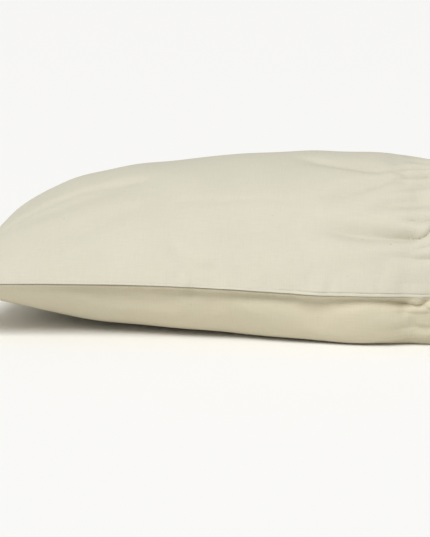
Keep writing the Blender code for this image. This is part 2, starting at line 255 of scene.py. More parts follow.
LOWER_END = [
    # The strand that leaves under the seam lies further out.
    (0.2080, -0.1067, 0.0428),
    (0.2082, -0.1108, 0.0409),
    (0.2086, -0.1142, 0.0373),
    (0.2090, -0.1170, 0.0330),
    (0.2095, -0.1195, 0.0280),
    (0.2102, -0.1219, 0.0226),
    (0.2112, -0.1244, 0.0171),
    (0.2127, -0.1271, 0.0119),
    (0.2150, -0.1299, 0.0075),
    (0.2184, -0.1326, 0.0042),
    (0.2228, -0.1348, 0.0025),
    (0.2278, -0.1363, 0.0021),
    (0.2332, -0.1371, 0.0021),
    (0.2388, -0.1372, 0.0021),
    (0.2444, -0.1366, 0.0021),
    (0.2498, -0.1353, 0.0021),
    (0.2550, -0.1332, 0.0021),
    (0.2598, -0.1302, 0.0021),
    (0.2640, -0.1263, 0.0021),
]

# The knot's centreline on both sides of its round turns: ahead, aside and up from its middle
KNOT_IN = [
    (-0.0040, -0.0006, -0.0018), (-0.0020, -0.0011, -0.0008),
    (0.0005, -0.0012, 0.0), (0.0026, -0.0006, 0.0014),
]
KNOT_OUT = [
    (-0.0022, 0.0014, -0.0016), (-0.0008, 0.0014, -0.0004), (0.0015, 0.0013, 0.0),
    (0.0040, 0.0014, -0.0008), (0.0062, 0.0019, -0.0020), (0.0082, 0.0026, -0.0028),
    (0.0100, 0.0031, -0.0031),
]


def cell(stations, at):
    """The number of the step between stations that holds each place, and the part of it passed there."""
    k = np.clip(np.searchsorted(stations, at, side="right") - 1, 0, len(stations) - 2)
    return k, (at - stations[k]) / (stations[k + 1] - stations[k])


def smooth(stations, values, at):
    """Values read off a smooth curve through the stations."""
    x = np.asarray(stations, float)
    y = np.asarray(values, float)
    slopes = np.gradient(y, x)
    k, t = cell(x, np.clip(at, x[0], x[-1]))
    step = x[k + 1] - x[k]
    return (
        (2 * t**3 - 3 * t**2 + 1) * y[k]
        + (t**3 - 2 * t**2 + t) * step * slopes[k]
        + (3 * t**2 - 2 * t**3) * y[k + 1]
        + (t**3 - t**2) * step * slopes[k + 1]
    )


def ramp(t):
    """0 to 1 with a soft start and end."""
    t = np.clip(t, 0.0, 1.0)
    return t * t * (3 - 2 * t)


def after(at, span):
    """0 before a span's start, rising softly to 1 over its reach."""
    return ramp((at - span.start) / span.reach)


def bell(distance, width):
    """1 in the middle, falling softly to both sides."""
    return np.exp(-((distance / width) ** 2))


def across_of(share):
    """Distances on the flat cloth from the middle of a panel, for shares of its girth."""
    return (share - 0.5) * PANEL_WIDTH


def unit(rows):
    """The same directions with length 1, where the last axis holds each direction."""
    return rows / np.linalg.norm(rows, axis=-1)[..., None]


def on_floor(z):
    """Heights of the cloth's inner face, eased to where its outer face lies on the floor."""
    over = z - CLOTH
    soft = (over + FLOOR_BLEND) ** 2 / (4 * FLOOR_BLEND)
    return CLOTH + np.where(over > FLOOR_BLEND, over, np.where(over < -FLOOR_BLEND, 0.0, soft))


def column(name, at, table=SECTIONS):
    """One named column of a table, at each place that its first column is measured along."""
    return smooth([row[0] for row in table], [getattr(row, name) for row in table], at)


def girth(upper, along, share):
    """Points (y, z) and outward directions at a share of a panel's girth, 0 at the front seam."""
    along = np.atleast_1d(along)
    share = np.broadcast_to(share, (len(along), np.shape(share)[-1]))
    turn = np.linspace(0.0, np.pi, 481)
    at = {name: column(name, along)[:, None] for name in Section._fields[1:]}
    seam = at["front_seam"] + (at["back_seam"] - at["front_seam"]) * (1 - np.cos(turn)) / 2
    y = at["middle"] - at["half_width"] * np.cos(turn)
    if upper:
        rise = at["top"] - (at["front_seam"] + at["back_seam"]) / 2
        z = seam + SEAM_GAP / 2 + rise * np.sin(turn) ** at["upper_power"]
    else:
        z = on_floor(seam - SEAM_GAP / 2 - at["under"] * np.sin(turn) ** at["lower_power"])
    lengths = np.hypot(np.diff(y, axis=1), np.diff(z, axis=1))
    run = np.concatenate([np.zeros((len(along), 1)), np.cumsum(lengths, axis=1)], axis=1)
    points = np.empty((*share.shape, 2))
    facing = np.empty((*share.shape, 2))
    for i in range(len(along)):
        tangent = unit(np.stack([np.gradient(y[i]), np.gradient(z[i])], axis=1))
        outward = np.stack([-tangent[:, 1], tangent[:, 0]], axis=1) * (1 if upper else -1)
        want = share[i] * run[i, -1]
        for k, line in enumerate((y[i], z[i])):
            points[i, :, k] = np.interp(want, run[i], line)
            facing[i, :, k] = np.interp(want, run[i], outward[:, k])
    return points, unit(facing)


Crease = namedtuple("Crease", "depth width points")
UPPER_CREASES = [
    # Sharper folds, each along points (run, across) of the flat cloth.
    Crease(0.0013, 0.0050, [
        (0.289, 0.0150), (0.309, 0.0037), (0.336, -0.0113), (0.360, -0.0200), (0.377, -0.0187),
    ]),
    Crease(0.0011, 0.0040, [(0.371, -0.0200), (0.383, -0.0163), (0.398, -0.0050), (0.415, 0.0037)]),
    Crease(0.0010, 0.0040, [(0.377, -0.0187), (0.390, -0.0187), (0.403, -0.0163), (0.416, -0.0138)]),
    Crease(0.0018, 0.0065, [
        (0.326, -0.0663), (0.349, -0.0487), (0.362, -0.0425), (0.378, -0.0363), (0.401, -0.0313),
    ]),
    Crease(0.0012, 0.0045, [(0.367, -0.0725), (0.384, -0.0625), (0.401, -0.0563), (0.409, -0.0512)]),
    Crease(0.0037, 0.0068, [
        (0.326, -0.0915), (0.345, -0.0970), (0.366, -0.0990), (0.385, -0.0975), (0.411, -0.0960),
    ]),
    Crease(0.0013, 0.0032, [
        (0.370, -0.0970), (0.398, -0.0970), (0.410, -0.0955), (0.4165, -0.0910), (0.4220, -0.0810),
    ]),
    Crease(0.0022, 0.0018, [
        (0.4000, -0.0970), (0.4110, -0.0960), (0.4170, -0.0912), (0.4210, -0.0832), (0.4260, -0.0740),
    ]),
    Crease(0.0016, 0.0026, [
        (0.401, -0.1087), (0.408, -0.1075), (0.4135, -0.1062), (0.420, -0.1037), (0.428, -0.1010),
    ]),
    Crease(0.0012, 0.0035, [(0.401, -0.1187), (0.409, -0.1175), (0.417, -0.1163), (0.427, -0.1150)]),
    Crease(0.0006, 0.0045, [(0.180, -0.0665), (0.239, -0.0675), (0.273, -0.0663), (0.308, -0.0663)]),
    Crease(0.0013, 0.0075, [
        (0.098, -0.1125), (0.109, -0.1025), (0.121, -0.0962), (0.141, -0.0813), (0.168, -0.0688),
    ]),
    Crease(0.0016, 0.0065, [
        (0.040, -0.0760), (0.052, -0.0650), (0.076, -0.0487), (0.109, -0.0350), (0.168, -0.0238),
    ]),
    Crease(0.0009, 0.0050, [
        (0.201, -0.1087), (0.208, -0.1212), (0.215, -0.1288), (0.224, -0.1350), (0.244, -0.1363),
    ]),
]
LOWER_CREASES = [
    Crease(0.0042, 0.0034, [
        (0.380, -0.1450), (0.395, -0.1418), (0.411, -0.1405), (0.4155, -0.1430), (0.4185, -0.1485),
    ]),
    Crease(0.0012, 0.0024, [(0.409, -0.1430), (0.415, -0.1395), (0.421, -0.1372), (0.430, -0.1350)]),
    Crease(0.0016, 0.0050, [(0.397, -0.1275), (0.403, -0.1250), (0.411, -0.1163), (0.422, -0.1138)]),
    Crease(0.0012, 0.0080, [(0.125, -0.1380), (0.170, -0.1350), (0.215, -0.1330)]),
]


def casing_shift(share):
    """How far back of the stitch line's place in the solids the casing starts: most beside the slit."""
    return DRAWN_BACK + DRAWN_SLIT * bell(share * PANEL_WIDTH, DRAWN_REACH)


def casing_run(run, share):
    """The place in the hem's table for each place on the cloth, drawn back towards the slit."""
    return run + casing_shift(share) * (1 - after(run, DRAWN_FADES))


def stitch_run(share):
    """Where the casing's stitches cross each share of the girth."""
    runs = np.linspace(0.380, 0.425, 451)
    return np.array([np.interp(STITCH_LINE, casing_run(runs, part), runs) for part in np.ravel(share)])


def crease_depth(creases, run, share):
    """Outward shift of the cloth by its creases: narrow troughs, each between two low banks."""
    across = across_of(share)
    total = np.zeros(np.broadcast(run, share).shape)
    for crease in creases:
        nearest = np.full(total.shape, 1.0)
        along = np.zeros(total.shape)
        ends = np.array(crease.points)
        steps = np.hypot(*np.diff(ends, axis=0).T)
        done = 0.0
        for (r0, a0), (r1, a1), step in zip(ends[:-1], ends[1:], steps):
            t = np.clip(((run - r0) * (r1 - r0) + (across - a0) * (a1 - a0)) / step**2, 0, 1)
            d = np.hypot(run - r0 - t * (r1 - r0), across - a0 - t * (a1 - a0))
            along = np.where(d < nearest, (done + t * step) / steps.sum(), along)
            nearest = np.minimum(nearest, d)
            done += step
        # It begins shallow, is full depth from two fifths of its way and ends quickly.
        size = crease.depth * (0.15 + 0.85 * ramp(along / 0.4)) * ramp((1.02 - along) / 0.12)
        total += size * (1.25 * bell(nearest, crease.width) - 0.45 * bell(nearest, 2.2 * crease.width))
    return -total


def fold_depth(folds, run, share):
    """Outward shift of the cloth by soft folds along straight lines: troughs, so it is negative."""
    across = across_of(share)
    total = np.zeros(np.broadcast(run, share).shape)
    for f in folds:
        line = np.array([f.run_end - f.run, f.across_end - f.across])
        long = np.hypot(*line)
        t = ((run - f.run) * line[0] + (across - f.across) * line[1]) / long**2
        aside = ((run - f.run) * line[1] - (across - f.across) * line[0]) / long
        ends = ramp(t / 0.35) * ramp((1 - t) / 0.35)
        total -= f.depth * bell(aside, f.width) * ends
    return total


def waves(u, v, seed, count, shortest, longest):
    """A soft uneven field between about -1 and 1: waves of seeded length and direction, in metres."""
    pick = np.random.default_rng(seed)
    total = np.zeros(np.broadcast(u, v).shape)
    for _ in range(count):
        number = 2 * np.pi / np.exp(pick.uniform(np.log(shortest), np.log(longest)))
        way = pick.uniform(0, np.pi)
        total += np.sin(number * (np.cos(way) * u + np.sin(way) * v) + pick.uniform(0, 2 * np.pi))
    return total / np.sqrt(count / 2)


def seam_relief(upper, run, share):
    """Outward shift by the seam's ridge, its stitched groove, the tuck under it and small puckers."""
    across = across_of(share)
    total = np.zeros(np.broadcast(run, share).shape)
    near_mouth = after(run, NEAR_MOUTH)
    for side, seed in ((-1, 3), (1, 5)):
        d = np.abs(across - side * PANEL_WIDTH / 2)
        pucker = waves(run, 0.0, seed + 10 * upper, 7, 0.007, 0.022)
        strength = PUCKER + PUCKER * waves(run, 0.0, seed + 1, 4, 0.05, 0.16)
        total += pucker * strength * bell(d, PUCKER_REACH) * (1 - bell(d, 0.002))
        if upper:
            ridge = 0.0001 + 0.0004 * near_mouth
            groove = 0.0001 + 0.0005 * near_mouth
            total += ridge * bell(d - RIDGE_AT, 0.0007) - groove * bell(d - SEAM_STITCH, 0.0005)
        else:
            deep = 0.0028 + 0.0042 * after(run, TUCK_DEEPENS)
            reach = 0.011 + 0.0020 * near_mouth + 0.0025 * waves(run, 0.0, seed + 2, 3, 0.06, 0.2)
            tuck = (1 - np.exp(-((d / 0.0022) ** 1.3))) * bell(d, reach)
            total -= deep * tuck * ramp(run / 0.06) * (1 - 0.9 * after(run, TUCK_ENDS))
    return total


def flare(upper, run, share):
    """How far sideways the side seams stand out, stiff with the cloth folded in behind them."""
    across = across_of(share)
    reach = 0.011 if upper else 0.0045
    size = FLARE * after(run, FLARE_BEGINS) * (1 - 0.5 * after(run, FLARE_EASES))
    size = size * (1 - after(run, FLARE_ENDS))
    out = np.exp(-(across + PANEL_WIDTH / 2) / reach) - np.exp(-(PANEL_WIDTH / 2 - across) / reach)
    return -size * out


def drape(upper, run, share):
    """Slight unevenness all over the cloth, and the sag in the middle of the upper panel."""
    broad = waves(run, across_of(share), 21 + upper, 9, 0.045, 0.13)
    size = UNEVEN - STRETCHED * bell(share - 0.55, 0.18) * upper
    sunk = SUNK * upper * ramp(share / 0.2) * ramp((1 - share) / 0.2) * ramp(run / 0.05)
    return size * broad * ramp(share / 0.10) * ramp((1 - share) / 0.10) * ramp(run / 0.03) - sunk


def pleats(upper, run, share):
    """The gathers at the mouth: round ridges with narrow creases between them."""
    phase = 0.1 if upper else 0.6
    reach = PLEAT_REACH * (0.72 + 0.28 * np.sin(2 * np.pi * (3 * share + phase)))
    size = ramp((casing_run(run, share) - STITCH_LINE + reach) / reach) * PLEAT_DEPTH
    uneven = 1 + 0.3 * np.sin(2 * np.pi * (5 * share + 2 * phase))
    wander = share + 0.010 * np.sin(2 * np.pi * (4 * share + phase))
    edges = ramp(share / 0.03) * ramp((1 - share) / 0.03)
    if upper:
        # Near the crest they lean. Beside the front seam and the main fold they are faint.
        slant = 0.5 * bell(across_of(share) + 0.030, 0.045)
        along = LENGTH - np.abs(run - LENGTH)
        wander = wander - slant * (along - 0.400) / PANEL_WIDTH
        edges = edges * (1 - 0.85 * (1 - after(share, UPPER_QUIET)))
        edges = edges * (1 - 0.7 * bell(across_of(share) + 0.095, 0.010))
    else:
        edges = edges * (1 - 0.55 * (1 - after(share, LOWER_QUIET)))
    ridge = 2 * np.sqrt(np.cos(np.pi * (PLEATS * wander - 0.25)) ** 2 + 0.01) - 1.29
    return size * uneven * edges * ridge


def place(upper, run, share, sewn=True):
    """Points of a panel's inner face, for each run along the cloth and each share of its girth."""
    run = np.atleast_1d(run)
    down = run[:, None]
    along = np.where(run < HEM[0].run, run, column("along", run, HEM))
    share = np.broadcast_to(share, (len(run), np.shape(share)[-1]))
    inset = column("inset", casing_run(down, share), HEM)
    points, facing = girth(upper, along, share)
    folds = fold_depth(UPPER_FOLDS if upper else LOWER_FOLDS, down, share)
    folds = folds + crease_depth(UPPER_CREASES if upper else LOWER_CREASES, down, share)
    turned_in = ramp((inset - HEM[-1].inset) / 0.004)
    gathers = pleats(upper, down, share) * (1 - (1 - RETURN_PLEATS) * turned_in)
    detail = drape(upper, down, share)
    if sewn:
        detail = detail + seam_relief(upper, down, share)
    shift = folds + gathers + detail * (1 - turned_in) - inset
    y, z = np.moveaxis(points + facing * shift[:, :, None], 2, 0)
    if sewn:
        y = y + flare(upper, down, share)
    across = (points[:, :, 0] - column("middle", along)[:, None]) / column("half_width", along)[:, None]
    drawn = casing_shift(share) * after(down, RETURN_FOLLOWS)
    dip = END_DIP * np.exp(-along / END_DIP_REACH)[:, None] * (1 - across**2)
    x = along[:, None] - drawn - LENGTH / 2 + dip
    lowest = CLOTH + RETURN_GAP * after(run, FLOOR_LAYERS)
    return np.stack([x, y, np.maximum(z, lowest[:, None])], axis=2)


def facing_out(upper, run, share):
    """The direction that the cloth's outer face looks, at the same places."""
    run = np.atleast_1d(run)
    by_run = place(upper, run + NUDGE, share) - place(upper, run - NUDGE, share)
    next_share = np.clip(share + NUDGE, 0, 1)
    last_share = np.clip(share - NUDGE, 0, 1)
    by_share = place(upper, run, next_share) - place(upper, run, last_share)
    return unit(np.cross(by_share, by_run) * (-1 if upper else 1))


def grid_runs():
    """Distances along the cloth for the rows: closer together towards the mouth."""
    body = np.linspace(0.0, 0.360, 110)
    gathers = np.linspace(0.363, 0.416, 36)
    casing = np.linspace(0.4175, 0.464, 44)
    return np.concatenate([body, gathers, casing])


def grid_shares():
    """Shares of the girth for the columns: closer together at the seams."""
    u = np.linspace(0.0, 1.0, COLUMNS + 1)
    return u - 0.72 * np.sin(2 * np.pi * u) / (2 * np.pi)


def from_seams(runs, shares):
    """Distance along the cloth from the nearest side seam or the closed end."""
    return np.minimum(PANEL_WIDTH / 2 - np.abs(across_of(shares)), runs[:, None])


def new_object(name, points, faces, smoothed=True):
    """A mesh object made from points and faces."""
    mesh = bpy.data.meshes.new(name)
    mesh.from_pydata(points, [], faces)
    if smoothed:
        mesh.shade_smooth()
    obj = bpy.data.objects.new(name, mesh)
    bpy.context.collection.objects.link(obj)
    return obj


def quads(number):
    """The faces of a grid of points, from the grid of their numbers."""
    corners = [number[:-1, :-1], number[1:, :-1], number[1:, 1:], number[:-1, 1:]]
    return np.stack(corners, axis=2).reshape(-1, 4)


def joined_panels():
    """Points and faces of both panels sewn into one coarse mesh, and each panel's point numbers."""
    rows, columns = len(EASE_RUNS), len(EASE_SHARES)
    start = {u: place(u, EASE_RUNS, EASE_SHARES, sewn=False).reshape(-1, 3) for u in (True, False)}
    joined = np.zeros((rows, columns), bool)
    joined[0] = True
    joined[EASE_RUNS < CASING_START, 0] = True
    joined[EASE_RUNS < CASING_START, -1] = True
    joined = joined.ravel()
    number = {True: np.arange(rows * columns), False: np.where(joined, np.arange(rows * columns), 0)}
    number[False][~joined] = rows * columns + np.arange((~joined).sum())
    points = np.concatenate([start[True], start[False][~joined]])
    points[: rows * columns][joined] = (start[True][joined] + start[False][joined]) / 2
    faces = quads(number[True].reshape(rows, columns)).tolist()
    faces += quads(number[False].reshape(rows, columns))[:, ::-1].tolist()
    return points, faces, number


def settle():
    """Moves, in metres, of both panels' cloth as it eases into puckers along its seams and gathers."""
    points, faces, number = joined_panels()
    cloth = new_object("easing", points.tolist(), faces, smoothed=False)
    mesh = cloth.data
    to_seam = from_seams(EASE_RUNS, EASE_SHARES)
    casing = stitch_run(EASE_SHARES)
    to_casing = np.maximum(casing - EASE_RUNS[:, None], 0.0)
    loose = bell(to_seam, SEAM_REACH) + CASING_SHARE * bell(to_casing, CASING_REACH)
    loose = np.clip(loose, 0.0, 1.0)
    hold = HOLD_BODY + (HOLD_SEAM - HOLD_BODY) * loose
    # Over the 6 mm round its stitches the casing comes to be held fast.
    hold = np.maximum(hold, ramp((EASE_RUNS[:, None] - casing + 0.004) / 0.006))
    group = cloth.vertex_groups.new(name="hold")
    for upper in (True, False):
        for vertex, weight in zip(number[upper].tolist(), hold.ravel().tolist()):
            group.add([vertex], weight, "REPLACE")
    motion = cloth.modifiers.new("cloth", "CLOTH")
    for name, value in CLOTH_SETTINGS.items():
        setattr(motion.settings, name, value)
    motion.settings.effector_weights.gravity = 0.0
    motion.collision_settings.use_collision = False
    motion.collision_settings.use_self_collision = False
    motion.point_cache.frame_start = 1
    motion.point_cache.frame_end = EASE_FRAMES
    for frame_number in range(1, EASE_FRAMES + 1):
        bpy.context.scene.frame_set(frame_number)
    settled = cloth.evaluated_get(bpy.context.evaluated_depsgraph_get()).to_mesh()
    after_easing = np.empty(len(points) * 3)
    settled.vertices.foreach_get("co", after_easing)
    moved = after_easing.reshape(-1, 3) - points
    size = np.linalg.norm(moved, axis=1)
    moved *= np.minimum(1.0, EASE_CAP / np.maximum(size, 1e-9))[:, None]
    near = np.maximum(bell(to_seam, EASE_KEEP), CASING_SHARE * bell(to_casing, EASE_KEEP))
    near = np.maximum(near, EASE_LEFT).ravel()
    bpy.data.objects.remove(cloth)
    bpy.data.meshes.remove(mesh)
    bpy.context.scene.frame_set(1)
    shape = (len(EASE_RUNS), len(EASE_SHARES), 3)
    return {u: (moved[number[u]] * near[:, None]).reshape(shape) for u in (True, False)}


def spread(stations, at):
    """Weights that carry values from evenly spaced stations to other places, as a cubic B-spline."""
    step = stations[1] - stations[0]
    u = np.clip((np.asarray(at) - stations[0]) / step, 0, len(stations) - 1.0001)
    k = u.astype(int)
    t = u - k
    shares = [(1 - t) ** 3, 3 * t**3 - 6 * t**2 + 4, -3 * t**3 + 3 * t**2 + 3 * t + 1, t**3]
    weights = np.zeros((len(u), len(stations)))
    for j, part in enumerate(shares):
        np.add.at(weights, (np.arange(len(u)), np.clip(k + j - 1, 0, len(stations) - 1)), part / 6)
    return weights


def panel_grid(upper, moved):
    """A panel's outer face with the seam's turned-in edge round three sides, and its places on the cloth."""
    side = 1 if upper else -1
    runs = grid_runs()
    shares = grid_shares()
    front = np.interp(shares, [0, 2 * SLIT], [SLIT, 0])
    back = np.interp(shares, [1 - SLIT, 1], [0, BACK_GAP])
    opening = after(runs, SLIT_OPENS)
    back_opening = after(runs, BACK_OPENS)

    # The face between the seams, opened at the slit
    rows = []
    for run, part, back_part in zip(runs, opening, back_opening):
        share = shares + front * part - back * back_part
        inner = place(upper, run, share)
        rows.append((inner + facing_out(upper, run, share) * CLOTH)[0])
    grid = np.array(rows)
    seam = [place(upper, runs, np.array([edge]))[:, 0] for edge in (0.0, 1.0)]
    end = place(upper, 0.0, shares)[0]
    if moved is not None:
        fade = 1 - ramp((runs[:, None] - stitch_run(shares) + 0.001) / 0.010)
        eased = np.einsum("ri,ijk,cj->rck", spread(EASE_RUNS, runs), moved, spread(EASE_SHARES, shares))
        eased *= fade[:, :, None]
        grid = grid + eased
        grid[:, :, 2] = np.maximum(grid[:, :, 2], 0.0)
        seam = [seam[0] + eased[:, 0], seam[1] + eased[:, -1]]
        end = end + eased[0]

    # The gap that the solids have along the seams is closed
    across = across_of(shares)
    to_seam = from_seams(runs, shares)
    shut = 1 - np.where(shares < 0.5, opening[:, None], back_opening[:, None])
    grid[:, :, 2] -= side * SEAM_GAP / 2 * np.exp(-to_seam / 0.0015) * shut

    # The turned-in edge along both side seams, then along the closed end
    body = np.minimum(runs, LENGTH)
    slope = column("back_seam", body) - column("front_seam", body)
    slope = slope / (2 * column("half_width", body))
    lift = side * EDGE_APART
    left = []
    right = []
    for width in ALLOWANCE:
        inward = width * (1 - 0.9 * opening)
        for store, sign, rim, edge, part in (
            (left, 1, seam[0], grid[:, 0], opening),
            (right, -1, seam[1], grid[:, -1], back_opening),
        ):
            start = rim + (edge - rim) * part[:, None]
            shift = np.stack([np.zeros_like(inward), sign * inward, sign * inward * slope], axis=1)
            store.append(start + shift + [0, 0, lift])
    grid = np.concatenate([np.stack(left, axis=1), grid, np.stack(right[::-1], axis=1)], axis=1)
    widths = np.array(ALLOWANCE)
    across = np.concatenate([across[0] - widths, across, across[-1] + widths[::-1]])
    count = len(ALLOWANCE)
    rows = []
    for width in ALLOWANCE:
        row = np.empty((grid.shape[1], 3))
        row[count:-count] = end
        row[:count] = end[0] + np.outer(widths, [0, 1, slope[0]])
        row[-count:] = end[-1] - np.outer(widths[::-1], [0, 1, slope[0]])
        row += [width, 0, lift]
        rows.append(row)
    grid = np.concatenate([np.array(rows), grid])
    runs = np.concatenate([-widths, runs])
    return grid, runs, across


def sheet(name, upper, panel):
    """One panel as a fine sheet with pattern coordinates in metres as its UV map."""
    grid, runs, across = panel
    faces = quads(np.arange(grid.shape[0] * grid.shape[1]).reshape(grid.shape[:2]))
    if not upper:
        faces = faces[:, ::-1]
    obj = new_object(name, grid.reshape(-1, 3).tolist(), faces.tolist())
    mesh = obj.data
    pattern = np.stack(np.meshgrid(across + PATTERN_PLACE[upper], runs), axis=2).reshape(-1, 2)
    uv = mesh.uv_layers.new(name="pattern")
    corners = np.empty(len(mesh.loops), int)
    mesh.loops.foreach_get("vertex_index", corners)
    uv.data.foreach_set("uv", pattern[corners].ravel())
    thick = obj.modifiers.new("thickness", "SOLIDIFY")
    thick.thickness = SHEET
    thick.offset = -1.0
    return obj


def in_casing(upper, shares):
    """The cord's centre in a panel's casing."""
    points, facing = girth(upper, CORD_ALONG, shares)
    return [(CORD_ALONG - LENGTH / 2, *point) for point in (points - facing * CORD_INSET)[0].tolist()]


def turn_out(side):
    """A strand's quarter turn from the slit into the casing, over (1) or under (-1) the front seam."""
    x, y, z = in_casing(True, np.array([0.0]))[0]
    z += side * (STRAND_APART + CORD_BEND)
    angles = np.radians([-90, -60, -30, 0])
    turn = [(x, y - CORD_BEND + CORD_BEND * np.cos(a), z + side * CORD_BEND * np.sin(a)) for a in angles]
    return [(x, turn[0][1] - STUB, turn[0][2])] + turn


def loop_route():
    """The cord from one side of the slit, round the mouth in the casing and back to the other side."""
    shares = np.linspace(LOOP_START, 1.0, LOOP_POINTS)
    over = in_casing(True, shares)
    under = in_casing(False, shares[:-1])
    return turn_out(1) + over + under[::-1] + turn_out(-1)[::-1]


def dense(points, step):
    """A smooth line through the points, with points about a step apart, and its length."""
    points = np.array(points, float)
    at = np.concatenate([[0.0], np.cumsum(np.linalg.norm(np.diff(points, axis=0), axis=1))])
    fine = np.linspace(0.0, at[-1], max(3, int(at[-1] / step)))
    line = np.stack([smooth(at, points[:, k], fine) for k in range(3)], axis=1)
    return line, float(np.linalg.norm(np.diff(line, axis=0), axis=1).sum())


def ring_faces(first, rings, sides):
    """Faces between each ring of points and the next, from the number of the first ring's first point."""
    faces = []
    for i in range(rings - 1):
        base = first + i * sides
        for j in range(sides):
            k = (j + 1) % sides
            faces.append((base + j, base + k, base + sides + k, base + sides + j))
    return faces


def twisted_tube(name, line, radius, sides=18, strands=3, pitch=0.011):
    """A tube along a line whose skin shows the strands that the cord is twisted from."""
    tangent = unit(np.gradient(line, axis=0))
    across = np.cross(tangent[0], (0.3, 0.1, 1.0))
    run = 0.0
    runs = []
    rings = []
    for i, point in enumerate(line):
        across = across - tangent[i] * (across @ tangent[i])
        across /= np.linalg.norm(across)
        other = np.cross(tangent[i], across)
        run += np.linalg.norm(line[i] - line[i - 1]) if i else 0.0
        runs.append(run)
        angle = np.linspace(0, 2 * np.pi, sides, endpoint=False)
        lobes = np.abs(np.cos(strands / 2 * (angle - 2 * np.pi * run / pitch)))
        size = radius * (0.80 + 0.22 * lobes)
        ring = point + np.outer(np.cos(angle) * size, across) + np.outer(np.sin(angle) * size, other)
        rings.append(ring)
    count = len(rings)
    faces = ring_faces(0, count, sides)
    for j in range(sides):
        k = (j + 1) % sides
        faces.append((count * sides, k, j))
        faces.append((count * sides + 1, (count - 1) * sides + j, (count - 1) * sides + k))
    obj = new_object(name, np.concatenate(rings + [line[:1], line[-1:]]).tolist(), faces)
    mesh = obj.data
    lay = mesh.uv_layers.new(name="lay")
    for face in mesh.polygons:
        ring, side = divmod(face.index, sides)
        for corner in face.loop_indices:
            vertex = mesh.loops[corner].vertex_index
            turn = side + ((vertex % sides) != side) if ring < count - 1 else vertex % sides
            turns_along = runs[min(vertex // sides, count - 1)] / pitch
            lay.data[corner].uv = (turn / sides - turns_along, turns_along)
    return obj


def at_pattern(panel, run, across_at):
    """Points on a panel's sheet at places on the flat cloth, with the directions that its face looks."""
    grid, runs, across = panel
    i, u = cell(runs, run)
    j, v = cell(across, across_at)
    u = u[:, None]
    v = v[:, None]
    a, b, c, d = grid[i, j], grid[i, j + 1], grid[i + 1, j], grid[i + 1, j + 1]
    point = a * (1 - u) * (1 - v) + b * (1 - u) * v + c * u * (1 - v) + d * u * v
    return point, unit(np.cross(b - a, c - a))


def stitches(name, rows, sides=6, rings=7):
    """Short raised threads along rows of (panel, upper, runs, acrosses) on the sheets."""
    verts = []
    faces = []
    rise = np.sin(np.linspace(0, np.pi, rings))[:, None]
    angle = np.linspace(0, 2 * np.pi, sides, endpoint=False)
    for panel, upper, runs, acrosses in rows:
        at = np.concatenate([[0.0], np.cumsum(np.hypot(np.diff(runs), np.diff(acrosses)))])
        for k in range(int(at[-1] / STITCH_PITCH)):
            fine = (k + np.linspace(0.08, 0.86, rings)) * STITCH_PITCH
            point, facing = at_pattern(panel, np.interp(fine, at, runs), np.interp(fine, at, acrosses))
            facing = facing * (-1 if upper else 1)
            line = point + facing * (THREAD * (1.1 * rise - 0.5))
            aside = np.cross(unit(np.gradient(line, axis=0)), facing)
            faces += ring_faces(len(verts), rings, sides)
            for q in range(rings):
                size = THREAD * (0.35 + 0.65 * rise[q, 0] ** 0.5)
                ring = line[q] + np.outer(np.cos(angle) * size, aside[q])
                ring = ring + np.outer(np.sin(angle) * size, facing[q])
                ring[:, 2] = np.maximum(ring[:, 2], 0.0)
                verts += ring.tolist()
    return new_object(name, verts, faces)


def knot_line(end, before):
    """An overhand knot's centreline: through, round twice, back through and out as a short tail."""
    end = np.array(end)
    heading = end - np.array(before)
    heading[2] = 0.0
    heading /= np.linalg.norm(heading)
    aside = np.cross((0, 0, 1.0), heading)
    middle = np.array([*(end + heading * KNOT_AHEAD)[:2], KNOT_HEIGHT])
    turns = np.linspace(0, 2 * np.pi * 1.30, 18)
    coil = [
        (0.0019 - 0.0040 * t / turns[-1], 0.0036 * np.sin(t + 0.3), 0.0030 * np.cos(t + 0.3))
        for t in turns
    ]
    points = KNOT_IN + coil + KNOT_OUT
    knot = [middle + heading * h + aside * s + np.array([0, 0, u]) for h, s, u in points]
    return [end - heading * 0.0012, end] + knot


def tuft(name, end, before, count=46):
    """The cord's cut end: fine fibres that splay from it."""
    pick = np.random.default_rng(7)
    end = np.array(end)
    heading = end - np.array(before)
    heading /= np.linalg.norm(heading)
    aside = np.cross(heading, (0.0, 0.0, 1.0))
    aside /= np.linalg.norm(aside)
    above = np.cross(aside, heading)
    verts = []
    faces = []
    for _ in range(count):
        turn = pick.uniform(0, 2 * np.pi)
        out = np.cos(turn) * aside + np.sin(turn) * above
        start = end + out * CORD * 0.40 * np.sqrt(pick.uniform()) - heading * 0.0006
        long = pick.uniform(0.0014, 0.0034)
        bend = pick.uniform(0.2, 1.1)
        faces += ring_faces(len(verts), 4, 3)
        for t in (0.0, 0.35, 0.7, 1.0):
            point = start + heading * long * t + out * long * bend * 0.5 * t * t
            point[2] = max(point[2], 0.0003)
            size = 0.00040 * (1 - 0.6 * t)
            for a in (0.0, 2.1, 4.2):
                verts.append((point + (np.cos(a) * aside + np.sin(a) * above) * size).tolist())
    return new_object(name, verts, faces)


def new_material(name, look):
    """A new material with the given values in its Principled shader, its node tree and that shader."""
    material = bpy.data.materials.new(name)
    material.use_nodes = True
    shader = material.node_tree.nodes["Principled BSDF"]
    for key, value in look.items():
        shader.inputs[key].default_value = value
    return material, material.node_tree, shader


def add(tree, kind, **values):
    """A node with the given input values or properties."""
    node = tree.nodes.new(kind)
    for key, value in values.items():
        if key in node.inputs:
            node.inputs[key].default_value = value
        else:
            setattr(node, key, value)
    return node


